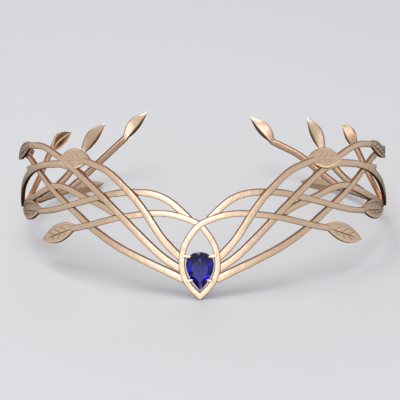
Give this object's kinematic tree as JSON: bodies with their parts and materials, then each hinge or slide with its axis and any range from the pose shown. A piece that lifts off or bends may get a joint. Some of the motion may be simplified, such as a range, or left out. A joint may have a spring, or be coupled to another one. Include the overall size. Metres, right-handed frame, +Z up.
{
  "type": "tiara headband",
  "caption": "Open-backed tiara of interlaced cast vine strands ending in leaves, with a claw-set pear crystal in its front loop.",
  "frame": {"origin": "on the table, under the middle of the tiara's bounding box, as it stands on its front point and its two lowest rear leaves", "axes": "+X to the wearer's left, across the head; +Y from the front point to the open back; +Z up from the table, about 7 degrees off upright as worn"},
  "size_m": [0.1476, 0.1279, 0.0533],
  "materials": {
    "gold_plate": "satin champagne gold plate on cast brass",
    "blue_crystal": "cut and polished violet blue crystal"
  },
  "bodies": {
    "root": {"tiara_frame": "gold_plate", "pear_crystal": "blue_crystal"}
  },
  "joints": []
}
